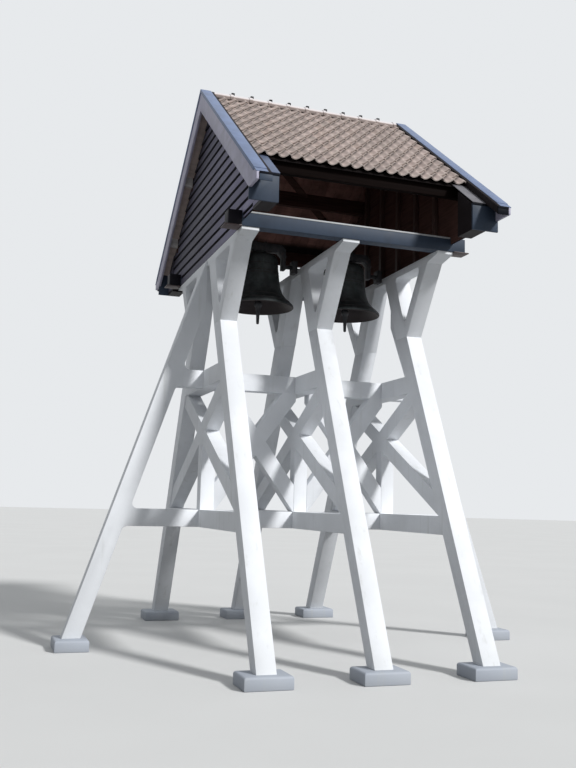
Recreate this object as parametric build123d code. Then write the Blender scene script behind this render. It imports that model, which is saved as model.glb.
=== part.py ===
"""Open bell tower: three forked concrete trestles, two raking end legs,
a gabled roof box and two bells that swing across the ridge.

X runs along the ridge, Y from front to back, Z up. Millimetres.
The origin is on the ground, in the middle of the eight feet.
"""
import os
from math import cos, pi, sin, sqrt

from build123d import *

# Trestles
BAY = 1400.0                # trestle spacing along the ridge
LEG_T = 235.0               # thickness of legs, ties and heads along X
WEB_T = 200.0               # thickness of braces, posts and centre-plane members
LEG_FOOT_OUT = 3110.0       # outer edge of a leg, carried down to the ground
LEG_FOOT_IN = 2885.0        # inner edge of a leg, carried down to the ground
LEG_FORK_OUT = 950.0        # outer edge of a leg at the fork seam
LEG_FORK_IN = 610.0         # inner edge of a leg at the fork seam
FORK_Z = 4450.0             # height of the seam under the fork
BRACE_W = 230.0             # width of the cross braces
BRACE_SLOPE = 0.515         # rise over run of the cross braces
BRACE_Z = 2990.0            # height of the crossing
CORNER_R = 80.0             # rounding of the openings' inner corners

# Ties and centre-plane beams
LOW_Z = 1640.0              # underside of the lower ties
LOW_H = 240.0
UP_Z = 3610.0               # underside of the upper ties
UP_H = 250.0
BAY_CROSS_Z = 2880.0        # crossing of the braces along the ridge
BAY_BRACE_W = 240.0
BAY_BRACE_LOW = 2060.0      # where their lower ends meet the posts

# Fork heads and cap beams
CAP_Z = 5400.0              # underside of the cap beam
CAP_H = 100.0
CAP_HALF = 1880.0           # half the cap's length over its noses
NOSE_END_H = 40.0           # upright end face of a nose
ARM_TOP_OUT = 1580.0        # outer edge of the outer arm, under the cap
ARM_W = 210.0               # outer arm, measured level
INNER_ARM_TOP = 200.0       # inner edge of the inner arm, under the cap
INNER_ARM_W = 340.0         # inner arm, measured level
FORK_R = 55.0

# Raking end legs
RAKE_FOOT_X = 3235.0        # centre of the raking leg at ground level
RAKE_RUN = 0.3334           # lean towards the tower for each unit of height
RAKE_W = 250.0              # level width of the raking leg
RAKE_TOP_Z = 5480.0

# Foot blocks
BLOCK_LONG = 570.0
BLOCK_WIDE = 450.0
BLOCK_H = 150.0
BLOCK_EDGE = 18.0           # chamfer round the top

# Sill beams on the cap ends
SILL_H = 190.0
SILL_W = 180.0
SILL_OVER = 180.0           # sill past the gable's face
SILL_OUT = 1900.0           # outer face of a sill

# Roof
ROOF_SLOPE = 0.758          # fall over run
ROOF_OVER = 170.0           # outer face of the bargeboards past the gable's face
GABLE_OUT = 2.5             # outer face of the gable boards past the end trestles
GABLE_T = 45.0
GABLE_HALF = 2374.0         # half the gable's width
EAVE_UP = 55.0              # underside of eave boxes and fascias above the gables'
GABLE_END_H = 820.5         # underside of a gable's end to the roof's upper plane
EAVE_BOX_D = 386.0          # gable's end to the fascia's outer face
FASCIA_T = 28.0
VERGE_OVER = 298.0          # raised verge past the fascia
TILE_BACK = 74.0            # lower edge of the tiles behind the gable's end
VERGE_W = 155.0             # raised verge, between the tiles and the bargeboard
TILE_T = 110.0              # tiles and battens together, plumb
BOARD_T = 30.0              # roof boards under them, plumb
STRIP_W = 185.0             # boards that run on below the tiles, inside the verge
BARGE_T = 35.0
BARGE_H = 335.0             # plumb height of a bargeboard
BARGE_END_H = 100.0         # plumb cut at the lower end
POST_SHARES = (0.1264, 0.3791, 0.6318)  # places of the gable posts, shares of GABLE_HALF
POST_W = 80.0               # gable post, along the gable
POST_D = 60.0               # gable post, into the roof
RAIL_H = 80.0
PURLIN_W = 90.0
PURLIN_H = 170.0
PURLIN_SHARES = (0.4844, 0.8972)  # places of the purlins, shares of GABLE_HALF
RIDGE_BEAM_W = 90.0
RIDGE_BEAM_H = 200.0
RIDGE_TILE_R = 105.0
RIDGE_TILE_T = 18.0
RIDGE_TILE_UP = 25.0        # top of the ridge tiles above the verge

# Bells
BELL_R = 527.0              # outer radius at the lip
BELL_LIP_Z = 4872.0
BELL_H = 810.0              # lip to the top of the head
FLARE_SHARES = (            # shares of the lip radius and of the height, from the lip up
    (1.000, 0.030),
    (0.905, 0.100),
    (0.765, 0.188),
)
WAIST_SHARES = (            # the same for the thin wall above the sound bow
    (0.645, 0.325),
    (0.572, 0.580),
    (0.533, 0.850),
)
BOW_SHARES = (0.790, 0.160)  # inside of the sound bow, before its thickness
LIP_IN_SHARE = 0.055        # height where the inside of the lip starts to close in
SHOULDER_SHARES = (0.475, 0.965)
SOUND_BOW_T = 72.0
WAIST_T = 34.0
HEAD_SHARE = 0.36           # flat of the head, share of the lip radius
LIP_FLAT = 22.0
LIP_BEVEL = 8.0
CROWN_R = 105.0
CROWN_H = 60.0

# Swinging gear
SWING_Z = 5540.0            # axis of the bell's gudgeons
GUDGEON_R = 30.0
GUDGEON_END_GAP = 8.0       # between a gudgeon's end and the fork head
PIN_GAP = 0.08              # radial running clearance of gudgeons and clapper pins
YOKE_HALF = 400.0           # to the outer face of the yoke's cheeks
YOKE_CHEEK_T = 55.0
YOKE_D = 110.0              # yoke from front to back
YOKE_BAR_H = 120.0
YOKE_CORNER_IN = 60.0
YOKE_CORNER_OUT = 70.0
BEARING_T = 75.0
BEARING_D = 150.0
BEARING_UP = 95.0           # bearing above and below the axis
BEARING_FOOT = 85.0         # flange over the cap beam
BEARING_FOOT_T = 20.0

# Clappers
STAPLE_R = 12.0             # pin that the clapper hangs from
LUG_W = 44.0
LUG_T = 18.0
LUG_DROP = 24.0             # lugs below the pin's axis
PIN_OVER = 6.0              # pin past the lugs
EYE_W = 40.0
EYE_WALL = 22.0
EYE_SIDE_GAP = 5.0
CLAPPER_PIVOT_Z = 5582.0
CLAPPER_BALL_Z = 4927.0
CLAPPER_BALL_R = 62.0
CLAPPER_ROD_R = 19.0
CLAPPER_TIP_Z = 4626.0
TIP_R = 22.0
TIP_ROOT_R = 38.0
BALL_FACES = 6              # facets of the ball's profile, pole to pole

NEAR = 1.0                  # tolerance for picking edges

LOW_TOP = LOW_Z + LOW_H
UP_TOP = UP_Z + UP_H
CAP_TOP = CAP_Z + CAP_H
EAVE_Z = CAP_TOP + EAVE_UP
RIDGE_Z = CAP_TOP + GABLE_END_H + ROOF_SLOPE * GABLE_HALF
FASCIA_Y = GABLE_HALF + EAVE_BOX_D
EAVE_Y = FASCIA_Y + VERGE_OVER
TILE_Y = GABLE_HALF - TILE_BACK
ROOF_IN = TILE_T + BOARD_T  # underside of the roof boards below the roof plane
GABLE_X = BAY + LEG_T / 2 + GABLE_OUT
ROOF_HALF = GABLE_X + ROOF_OVER
VERGE_OUT = ROOF_HALF - BARGE_T
TILE_HALF = VERGE_OUT - VERGE_W
STRIP_IN = TILE_HALF - STRIP_W
SILL_HALF = GABLE_X + SILL_OVER
BARGE_LOW_Z = RIDGE_Z - ROOF_SLOPE * EAVE_Y - BARGE_END_H
TRESTLES = {"left": -BAY, "middle": 0.0, "right": BAY}
BAYS = {"left": -BAY / 2, "right": BAY / 2}


def save(name, shape):
    """Write one sub-part under its node name."""
    export_step(shape, os.path.join("parts", name + ".step"))


def polygon(points):
    """Flat face from its corner points."""
    return make_face(Polyline(*points, close=True))


def rounded(face, radius):
    """The face with every corner rounded."""
    return fillet(face.vertices(), radius)


def slab_yz(face, x_mid, thickness):
    """Stand a face drawn as (Y, Z) upright across the ridge."""
    return Pos(x_mid, 0, 0) * extrude(Plane.YZ * face, amount=thickness / 2, both=True)


def slab_xz(face, y_mid, thickness):
    """Stand a face drawn as (X, Z) upright along the ridge."""
    plane = Plane(origin=(0, 0, 0), x_dir=(1, 0, 0), z_dir=(0, -1, 0))
    return Pos(0, y_mid, 0) * extrude(plane * face, amount=thickness / 2, both=True)


def box(x0, x1, y0, y1, z0, z1):
    """Upright box between two corners."""
    size = Box(x1 - x0, y1 - y0, z1 - z0)
    return Pos((x0 + x1) / 2, (y0 + y1) / 2, (z0 + z1) / 2) * size


def bar(start, end, width):
    """Flat bar of one width between two points, as a face."""
    run = end[0] - start[0]
    rise = end[1] - start[1]
    length = sqrt(run * run + rise * rise)
    dx = -rise / length * width / 2
    dy = run / length * width / 2
    return polygon([
        (start[0] + dx, start[1] + dy),
        (end[0] + dx, end[1] + dy),
        (end[0] - dx, end[1] - dy),
        (start[0] - dx, start[1] - dy),
    ])


def between(low, high, z):
    """Value at height z of a line from the ground to the fork seam."""
    return low + (high - low) * z / FORK_Z


def leg_out(z):
    return between(LEG_FOOT_OUT, LEG_FORK_OUT, z)


def leg_in(z):
    return between(LEG_FOOT_IN, LEG_FORK_IN, z)


def leg_mid(z):
    return (leg_out(z) + leg_in(z)) / 2


def roof_z(y):
    """Height of the roof's upper plane."""
    return RIDGE_Z - ROOF_SLOPE * abs(y)


def pockets(area, bars, radius):
    """What is left of an area between bars, each pocket with round corners."""
    left = area
    for one in bars:
        left = left - one
    return [rounded(pocket, radius) for pocket in left.faces()]


# Trestle frames: two splayed legs, two ties, cross brace and centre post
def trestle_frame(x):
    leg = polygon([
        (leg_in(BLOCK_H), BLOCK_H),
        (leg_out(BLOCK_H), BLOCK_H),
        (LEG_FORK_OUT, FORK_Z),
        (LEG_FORK_IN, FORK_Z),
    ])
    ties = [
        polygon([
            (-leg_mid(z), z),
            (leg_mid(z), z),
            (leg_mid(z + h), z + h),
            (-leg_mid(z + h), z + h),
        ])
        for z, h in ((LOW_Z, LOW_H), (UP_Z, UP_H))
    ]
    outline = leg + mirror(leg, Plane.YZ) + ties[0] + ties[1]
    frame = slab_yz(outline, x, LEG_T)

    area = polygon([
        (-leg_in(LOW_TOP), LOW_TOP),
        (leg_in(LOW_TOP), LOW_TOP),
        (leg_in(UP_Z), UP_Z),
        (-leg_in(UP_Z), UP_Z),
    ])
    reach = LEG_FOOT_OUT
    drop = BRACE_SLOPE * reach
    bars = [
        bar((-reach, BRACE_Z - drop), (reach, BRACE_Z + drop), BRACE_W),
        bar((-reach, BRACE_Z + drop), (reach, BRACE_Z - drop), BRACE_W),
        polygon([
            (-WEB_T / 2, LOW_TOP),
            (WEB_T / 2, LOW_TOP),
            (WEB_T / 2, BRACE_Z),
            (-WEB_T / 2, BRACE_Z),
        ]),
    ]
    web = slab_yz(area, x, WEB_T)
    for pocket in pockets(area, bars, CORNER_R):
        web = web - slab_yz(pocket, x, LEG_T)
    return frame + web


# Fork heads: both forks and the cap beam in one casting
def fork_head(x):
    outline = polygon([
        (LEG_FORK_IN, FORK_Z),
        (LEG_FORK_OUT, FORK_Z),
        (ARM_TOP_OUT, CAP_Z),
        (CAP_HALF, CAP_TOP - NOSE_END_H),
        (CAP_HALF, CAP_TOP),
        (0, CAP_TOP),
        (0, CAP_Z),
        (INNER_ARM_TOP, CAP_Z),
    ])
    rise = CAP_Z - FORK_Z
    inner_lean = (INNER_ARM_TOP - LEG_FORK_IN) / rise
    outer_lean = (ARM_TOP_OUT - LEG_FORK_OUT) / rise
    inner_edge = LEG_FORK_IN + INNER_ARM_W
    outer_edge = LEG_FORK_OUT - ARM_W
    up = (inner_edge - outer_edge) / (outer_lean - inner_lean)
    opening = rounded(polygon([
        (inner_edge + inner_lean * up, FORK_Z + up),
        (outer_edge + outer_lean * rise, CAP_Z),
        (inner_edge + inner_lean * rise, CAP_Z),
    ]), FORK_R)
    half = outline - opening
    return slab_yz(half + mirror(half, Plane.YZ), x, LEG_T)


# Braced bays in the centre plane, between two trestles
def bay_panel(x_mid):
    half = BAY / 2 - WEB_T / 2
    half_tie = BAY / 2 - LEG_T / 2
    area = polygon([(-half, LOW_TOP), (half, LOW_TOP), (half, UP_Z), (-half, UP_Z)])
    reach = BAY
    fall = (BAY_CROSS_Z - BAY_BRACE_LOW) * reach / half
    bars = [
        bar((-reach, BAY_CROSS_Z - fall), (reach, BAY_CROSS_Z + fall), BAY_BRACE_W),
        bar((-reach, BAY_CROSS_Z + fall), (reach, BAY_CROSS_Z - fall), BAY_BRACE_W),
    ]
    web = area
    for pocket in pockets(area, bars, CORNER_R):
        web = web - pocket
    low = polygon([(-half_tie, LOW_Z), (half_tie, LOW_Z), (half_tie, LOW_TOP), (-half_tie, LOW_TOP)])
    top = polygon([(-half_tie, UP_Z), (half_tie, UP_Z), (half_tie, UP_TOP), (-half_tie, UP_TOP)])
    return slab_xz(Pos(x_mid, 0) * (web + low + top), 0, WEB_T)


# Raking end frames: the leg and its two ties to the end trestle
def raking_frame(side):
    face_x = BAY + LEG_T / 2

    def rake_x(z, offset):
        return RAKE_FOOT_X - RAKE_RUN * z + offset

    def rake_z(x, offset):
        return (RAKE_FOOT_X + offset - x) / RAKE_RUN

    leg = polygon([
        (rake_x(BLOCK_H, -RAKE_W / 2), BLOCK_H),
        (rake_x(BLOCK_H, RAKE_W / 2), BLOCK_H),
        (rake_x(RAKE_TOP_Z, RAKE_W / 2), RAKE_TOP_Z),
        (face_x, RAKE_TOP_Z),
        (face_x, rake_z(face_x, -RAKE_W / 2)),
    ])
    ties = [
        polygon([
            (face_x, z),
            (rake_x(z, 0), z),
            (rake_x(z + h, 0), z + h),
            (face_x, z + h),
        ])
        for z, h in ((LOW_Z, LOW_H), (UP_Z, UP_H))
    ]
    outline = leg + ties[0] + ties[1]
    solid = slab_xz(outline, 0, WEB_T)
    inner = [
        edge for edge in solid.edges().filter_by(Axis.Y)
        if face_x + NEAR < edge.center().X < rake_x(edge.center().Z, 0)
        and LOW_Z - NEAR < edge.center().Z < UP_TOP + NEAR
    ]
    solid = fillet(inner, CORNER_R)
    return solid if side > 0 else mirror(solid, Plane.YZ)


def foot_block(x, y, along_x):
    length, width = (BLOCK_LONG, BLOCK_WIDE) if along_x else (BLOCK_WIDE, BLOCK_LONG)
    block = Pos(x, y, BLOCK_H / 2) * Box(length, width, BLOCK_H)
    return chamfer(block.faces().sort_by(Axis.Z)[-1].edges(), BLOCK_EDGE)


# Roof
def sloped(y0, y1, top_gap, thickness, x0, x1, sign):
    """Plate that follows one roof slope, top_gap below the roof plane, plumb measures."""
    face = polygon([
        (sign * y0, roof_z(y0) - top_gap),
        (sign * y1, roof_z(y1) - top_gap),
        (sign * y1, roof_z(y1) - top_gap - thickness),
        (sign * y0, roof_z(y0) - top_gap - thickness),
    ])
    return slab_yz(face, (x0 + x1) / 2, abs(x1 - x0))


def roof_boards(sign):
    """Boards under the tiles, with a strip at each end that runs on to the fascia."""
    boards = sloped(0, TILE_Y, TILE_T, BOARD_T, -VERGE_OUT, VERGE_OUT, sign)
    for side in (-1, 1):
        ends = side * STRIP_IN, side * VERGE_OUT
        boards = boards + sloped(TILE_Y, FASCIA_Y, TILE_T, BOARD_T, *ends, sign)
    return boards


def bargeboards(side):
    level_y = EAVE_Y - (BARGE_H - BARGE_END_H) / ROOF_SLOPE
    board = polygon([
        (0, RIDGE_Z),
        (EAVE_Y, roof_z(EAVE_Y)),
        (EAVE_Y, BARGE_LOW_Z),
        (level_y, BARGE_LOW_Z),
        (0, RIDGE_Z - BARGE_H),
    ])
    back = slab_yz(board, side * (ROOF_HALF + VERGE_OUT) / 2, BARGE_T)
    return mirror(back, Plane.XZ), back


def purlin_seats():
    """Level place and underside height of each purlin on one slope."""
    places = [share * GABLE_HALF for share in PURLIN_SHARES]
    return [(y, roof_z(y + PURLIN_W / 2) - ROOF_IN - PURLIN_H) for y in places]


def ridge_beam_z():
    return roof_z(RIDGE_BEAM_W / 2) - ROOF_IN - RIDGE_BEAM_H


def gable_wall(side):
    """Boarded gable, notched over the sills and round the purlins and the ridge beam."""
    sill_in = SILL_OUT - SILL_W
    sill_top = CAP_TOP + SILL_H
    half = polygon([
        (0, CAP_TOP),
        (sill_in, CAP_TOP),
        (sill_in, sill_top),
        (SILL_OUT, sill_top),
        (SILL_OUT, CAP_TOP),
        (GABLE_HALF, CAP_TOP),
        (GABLE_HALF, roof_z(GABLE_HALF) - ROOF_IN),
        (0, RIDGE_Z - ROOF_IN),
    ])
    seats = [(y - PURLIN_W / 2, y + PURLIN_W / 2, z) for y, z in purlin_seats()]
    for y0, y1, z in [*seats, (-RIDGE_BEAM_W / 2, RIDGE_BEAM_W / 2, ridge_beam_z())]:
        half = half - polygon([(y0, z), (y1, z), (y1, RIDGE_Z), (y0, RIDGE_Z)])
    return slab_yz(half + mirror(half, Plane.YZ), side * (GABLE_X - GABLE_T / 2), GABLE_T)


def gable_posts(side):
    """Rail between the sills and the posts that the gable boards are nailed to."""
    half_rail = SILL_OUT - SILL_W
    rail_top = CAP_TOP + RAIL_H
    x_in = GABLE_X - GABLE_T - POST_D
    frame = box(-POST_D / 2, POST_D / 2, -half_rail, half_rail, CAP_TOP, rail_top)
    for y in [share * GABLE_HALF for share in POST_SHARES]:
        post = slab_yz(polygon([
            (y - POST_W / 2, rail_top),
            (y + POST_W / 2, rail_top),
            (y + POST_W / 2, roof_z(y + POST_W / 2) - ROOF_IN),
            (y - POST_W / 2, roof_z(y - POST_W / 2) - ROOF_IN),
        ]), 0, POST_D)
        frame = frame + post + mirror(post, Plane.XZ)
    return Pos(side * (x_in + POST_D / 2), 0, 0) * frame


def purlin(y, z):
    face = polygon([
        (y - PURLIN_W / 2, z),
        (y + PURLIN_W / 2, z),
        (y + PURLIN_W / 2, z + PURLIN_H),
        (y - PURLIN_W / 2, roof_z(y - PURLIN_W / 2) - ROOF_IN),
    ])
    return slab_yz(face, 0, 2 * VERGE_OUT)


def eave_box(side, sign):
    """Box between the gable's end and the fascia, under the roof boards."""
    y_out = FASCIA_Y - FASCIA_T
    face = polygon([
        (sign * GABLE_HALF, EAVE_Z),
        (sign * y_out, EAVE_Z),
        (sign * y_out, roof_z(y_out) - ROOF_IN),
        (sign * GABLE_HALF, roof_z(GABLE_HALF) - ROOF_IN),
    ])
    return slab_yz(face, side * (GABLE_X + STRIP_IN) / 2, GABLE_X - STRIP_IN)


def fascia(side, sign):
    """Board across the end of an eave box, out to the bargeboard's face and under its level cut."""
    y_in = FASCIA_Y - FASCIA_T
    inner = polygon([
        (sign * y_in, EAVE_Z),
        (sign * FASCIA_Y, EAVE_Z),
        (sign * FASCIA_Y, roof_z(FASCIA_Y) - ROOF_IN),
        (sign * y_in, roof_z(y_in) - ROOF_IN),
    ])
    under = polygon([
        (sign * y_in, EAVE_Z),
        (sign * FASCIA_Y, EAVE_Z),
        (sign * FASCIA_Y, BARGE_LOW_Z),
        (sign * y_in, BARGE_LOW_Z),
    ])
    board = slab_yz(inner, side * (VERGE_OUT + STRIP_IN) / 2, VERGE_OUT - STRIP_IN)
    return board + slab_yz(under, side * (VERGE_OUT + ROOF_HALF) / 2, BARGE_T)


def ridge_tiles():
    centre = Pos(0, RIDGE_Z + RIDGE_TILE_UP - RIDGE_TILE_R)
    outer = centre * Circle(RIDGE_TILE_R)
    inner = centre * Circle(RIDGE_TILE_R - RIDGE_TILE_T)
    below = polygon([
        (-2 * RIDGE_TILE_R, roof_z(2 * RIDGE_TILE_R)),
        (0, RIDGE_Z),
        (2 * RIDGE_TILE_R, roof_z(2 * RIDGE_TILE_R)),
        (2 * RIDGE_TILE_R, RIDGE_Z - 4 * RIDGE_TILE_R),
        (-2 * RIDGE_TILE_R, RIDGE_Z - 4 * RIDGE_TILE_R),
    ])
    return slab_yz(outer - inner - below, 0, 2 * TILE_HALF)


# Bells
def bell(x):
    """Bell with its crown boss, revolved from its founder's profile."""
    def at(share, height):
        return share * BELL_R, BELL_LIP_Z + height * BELL_H

    flare = [at(*shares) for shares in FLARE_SHARES]
    waist = [at(*shares) for shares in WAIST_SHARES]
    bow_r, bow_z = at(*BOW_SHARES)
    top = BELL_LIP_Z + BELL_H
    under = top - WAIST_T
    head = HEAD_SHARE * BELL_R
    shoulder_r, shoulder_z = at(*SHOULDER_SHARES)
    section = polygon([
        *flare,
        *waist,
        (shoulder_r, shoulder_z),
        (head, top),
        (CROWN_R, top),
        (CROWN_R, top + CROWN_H),
        (0, top + CROWN_H),
        (0, under),
        (head - WAIST_T, under),
        *[(r - WAIST_T, z) for r, z in (waist[-1], waist[0])],
        (bow_r - SOUND_BOW_T, bow_z),
        (BELL_R - SOUND_BOW_T, at(1, LIP_IN_SHARE)[1]),
        (BELL_R - LIP_BEVEL - LIP_FLAT, BELL_LIP_Z),
        (BELL_R - LIP_BEVEL, BELL_LIP_Z),
    ])
    return Pos(x, 0, 0) * revolve(Plane.XZ * section, Axis.Z)


def staple(x):
    """Two lugs under the bell's head and the pin that carries the clapper."""
    head_z = BELL_LIP_Z + BELL_H - WAIST_T
    lug_in = EYE_W / 2 + EYE_SIDE_GAP
    low = CLAPPER_PIVOT_Z - LUG_DROP
    lug_out = lug_in + LUG_T
    left = box(x - lug_out, x - lug_in, -LUG_W / 2, LUG_W / 2, low, head_z)
    right = box(x + lug_in, x + lug_out, -LUG_W / 2, LUG_W / 2, low, head_z)
    pin = Cylinder(STAPLE_R, 2 * (lug_out + PIN_OVER))
    return left + right + Pos(x, 0, CLAPPER_PIVOT_Z) * Rot(0, 90, 0) * pin


def yoke(x):
    """Cranked headstock with its two gudgeons."""
    low = SWING_Z - YOKE_D / 2
    seat = BELL_LIP_Z + BELL_H + CROWN_H
    top = seat + YOKE_BAR_H
    inside = YOKE_HALF - YOKE_CHEEK_T
    face = polygon([
        (-YOKE_HALF, low),
        (-inside, low),
        (-inside, seat - YOKE_CORNER_IN),
        (-inside + YOKE_CORNER_IN, seat),
        (inside - YOKE_CORNER_IN, seat),
        (inside, seat - YOKE_CORNER_IN),
        (inside, low),
        (YOKE_HALF, low),
        (YOKE_HALF, top - YOKE_CORNER_OUT),
        (YOKE_HALF - YOKE_CORNER_OUT, top),
        (-YOKE_HALF + YOKE_CORNER_OUT, top),
        (-YOKE_HALF, top - YOKE_CORNER_OUT),
    ])
    headstock = slab_xz(Pos(x, 0) * face, 0, YOKE_D)
    reach = (BAY - LEG_T) / 2 - GUDGEON_END_GAP
    for sign in (-1, 1):
        gudgeon = Rot(0, 90, 0) * Cylinder(GUDGEON_R, reach - YOKE_HALF)
        headstock = headstock + Pos(x + sign * (YOKE_HALF + reach) / 2, 0, SWING_Z) * gudgeon
    return headstock


def bearing(x_face, sign):
    """Bearing on the side of a fork head, with a flange over the cap; sign points off the head."""
    x_out = x_face + sign * BEARING_T
    x_foot = x_face - sign * BEARING_FOOT
    half = BEARING_D / 2
    block = box(min(x_face, x_out), max(x_face, x_out), -half, half,
                SWING_Z - BEARING_UP, SWING_Z + BEARING_UP)
    foot = box(min(x_foot, x_out), max(x_foot, x_out), -half, half, CAP_TOP, CAP_TOP + BEARING_FOOT_T)
    bore = Rot(0, 90, 0) * Cylinder(GUDGEON_R + PIN_GAP, 4 * BEARING_T)
    return block + foot - Pos(x_out, 0, SWING_Z) * bore


def clapper(x):
    """Clapper with its eye, rod, ball and flight."""
    pivot = Pos(x, 0, CLAPPER_PIVOT_Z) * Rot(0, 90, 0)
    eye = pivot * Cylinder(STAPLE_R + EYE_WALL, EYE_W)
    turns = [pi * i / BALL_FACES for i in range(1, BALL_FACES)]
    ball = [(CLAPPER_BALL_R * sin(turn), CLAPPER_BALL_Z - CLAPPER_BALL_R * cos(turn)) for turn in turns]
    section = polygon([
        (0, CLAPPER_TIP_Z),
        (TIP_R, CLAPPER_TIP_Z),
        (TIP_ROOT_R, ball[1][1]),
        *ball[1:-1],
        (CLAPPER_ROD_R, ball[-1][1]),
        (CLAPPER_ROD_R, CLAPPER_PIVOT_Z),
        (0, CLAPPER_PIVOT_Z),
    ])
    hanger = Pos(x, 0, 0) * revolve(Plane.XZ * section, Axis.Z)
    return eye + hanger - pivot * Cylinder(STAPLE_R + PIN_GAP, 2 * EYE_W)


def main():
    os.makedirs("parts", exist_ok=True)

    for name, x in TRESTLES.items():
        save("trestle_frame_" + name, trestle_frame(x))
        save("fork_head_" + name, fork_head(x))
    for row, sign in (("front", -1), ("back", 1)):
        blocks = [foot_block(x, sign * leg_mid(BLOCK_H), True) for x in TRESTLES.values()]
        save(row + "_foot_blocks", Compound(children=blocks))
    rake_mid = RAKE_FOOT_X - RAKE_RUN * BLOCK_H
    ends = [foot_block(sign * rake_mid, 0, False) for sign in (-1, 1)]
    save("raking_foot_blocks", Compound(children=ends))

    for name, x in BAYS.items():
        save("bay_panel_" + name, bay_panel(x))
        save("bell_" + name, bell(x) + staple(x))
        save("yoke_" + name, yoke(x))
        save("clapper_" + name, clapper(x))
    faces = [(x + sign * LEG_T / 2, sign) for x, sign in ((-BAY, 1), (0, -1), (0, 1), (BAY, -1))]
    save("bearings", Compound(children=[bearing(face, sign) for face, sign in faces]))

    for name, side in (("left", -1), ("right", 1)):
        save("raking_frame_" + name, raking_frame(side))
        save("gable_" + name, gable_wall(side))
        save("gable_posts_" + name, gable_posts(side))
        save("bargeboards_" + name, Compound(children=bargeboards(side)))
        save("eave_boxes_" + name, Compound(children=[eave_box(side, sign) for sign in (-1, 1)]))
        save("fascias_" + name, Compound(children=[fascia(side, sign) for sign in (-1, 1)]))
        for row, sign in (("front", -1), ("back", 1)):
            verge = sloped(0, EAVE_Y, 0, TILE_T, side * TILE_HALF, side * VERGE_OUT, sign)
            save("verge_" + name + "_" + row, verge)

    for row, sign in (("front", -1), ("back", 1)):
        y0, y1 = sorted((sign * SILL_OUT, sign * (SILL_OUT - SILL_W)))
        save("sill_" + row, box(-SILL_HALF, SILL_HALF, y0, y1, CAP_TOP, CAP_TOP + SILL_H))
        save("roof_boards_" + row, roof_boards(sign))
        save("roof_tiles_" + row, sloped(0, TILE_Y, 0, TILE_T, -TILE_HALF, TILE_HALF, sign))
        purlins = [purlin(y, z) for y, z in purlin_seats()]
        if sign < 0:
            purlins = [mirror(one, Plane.XZ) for one in purlins]
        save("purlins_" + row, Compound(children=purlins))
    beam_z = ridge_beam_z()
    save("ridge_beam", box(-VERGE_OUT, VERGE_OUT, -RIDGE_BEAM_W / 2, RIDGE_BEAM_W / 2,
                           beam_z, beam_z + RIDGE_BEAM_H))
    save("ridge_tiles", ridge_tiles())


main()
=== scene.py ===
"""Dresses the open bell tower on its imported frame: painted concrete, pantiles, boards and bells.

X runs along the ridge, Y from front to back, Z up. Metres.
"""
import random
from math import atan, cos, floor, pi, radians, sin, sqrt, tau

import bpy
from mathutils import Matrix, Vector


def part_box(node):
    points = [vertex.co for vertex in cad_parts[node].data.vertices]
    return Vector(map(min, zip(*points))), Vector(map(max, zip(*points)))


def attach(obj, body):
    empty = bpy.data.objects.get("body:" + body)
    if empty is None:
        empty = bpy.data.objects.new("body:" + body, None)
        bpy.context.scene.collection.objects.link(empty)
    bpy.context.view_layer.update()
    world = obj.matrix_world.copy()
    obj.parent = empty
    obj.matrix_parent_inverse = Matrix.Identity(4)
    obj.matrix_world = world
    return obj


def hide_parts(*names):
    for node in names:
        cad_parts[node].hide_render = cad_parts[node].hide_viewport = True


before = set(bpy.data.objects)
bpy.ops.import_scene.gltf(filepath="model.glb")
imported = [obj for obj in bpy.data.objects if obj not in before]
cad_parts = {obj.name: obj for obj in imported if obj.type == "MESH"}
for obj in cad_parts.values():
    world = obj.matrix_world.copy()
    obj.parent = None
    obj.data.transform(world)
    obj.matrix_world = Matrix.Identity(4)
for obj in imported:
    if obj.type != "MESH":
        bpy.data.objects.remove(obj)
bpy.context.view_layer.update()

bl_info = {
    "name": "Open bell tower",
    "version": (1, 0, 0),
    "blender": (4, 5, 0),
    "location": "View3D > Sidebar > Bell tower",
    "description": "Builds the visible pieces of an open bell tower round its solids",
    "category": "Object",
}

FRAME_BODY = "frame"
SIDES = (("left", -1), ("right", 1))
ROWS = (("front", -1), ("back", 1))

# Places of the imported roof, read on its right and back; the left and the front mirror them
VERGE_LOW, VERGE_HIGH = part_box("verge_right_back")
BOARDS_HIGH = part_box("roof_boards_back")[1]
TILES_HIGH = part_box("roof_tiles_back")[1]
GABLE_LOW, GABLE_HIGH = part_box("gable_right")
SILL_LOW, SILL_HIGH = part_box("sill_back")
STRIP_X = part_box("fascias_right")[0].x
BARGE_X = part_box("bargeboards_right")[1].x
RIDGE_Z = VERGE_HIGH.z
TILE_DROP = RIDGE_Z - BOARDS_HIGH.z
SLOPE = (RIDGE_Z - VERGE_LOW.z - TILE_DROP) / VERGE_HIGH.y
PITCH = atan(SLOPE)
TILE_HALF = TILES_HIGH.x
TILE_EDGE_Y = TILES_HIGH.y
PLANK_THICK = 0.030
HALF_TURN = Matrix.Rotation(pi, 4, "Z")
STEP = 1e-5


class ConcreteSizes(bpy.types.PropertyGroup):
    arris: bpy.props.FloatProperty(
        name="Arris", description="Rounding of the casting edges", default=0.011, unit="LENGTH")
    paint: bpy.props.FloatVectorProperty(
        name="Paint", description="Masonry paint", subtype="COLOR", default=(0.80, 0.82, 0.85))
    block: bpy.props.FloatVectorProperty(
        name="Foot block", description="Weathered concrete", subtype="COLOR", default=(0.40, 0.44, 0.52))


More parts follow.
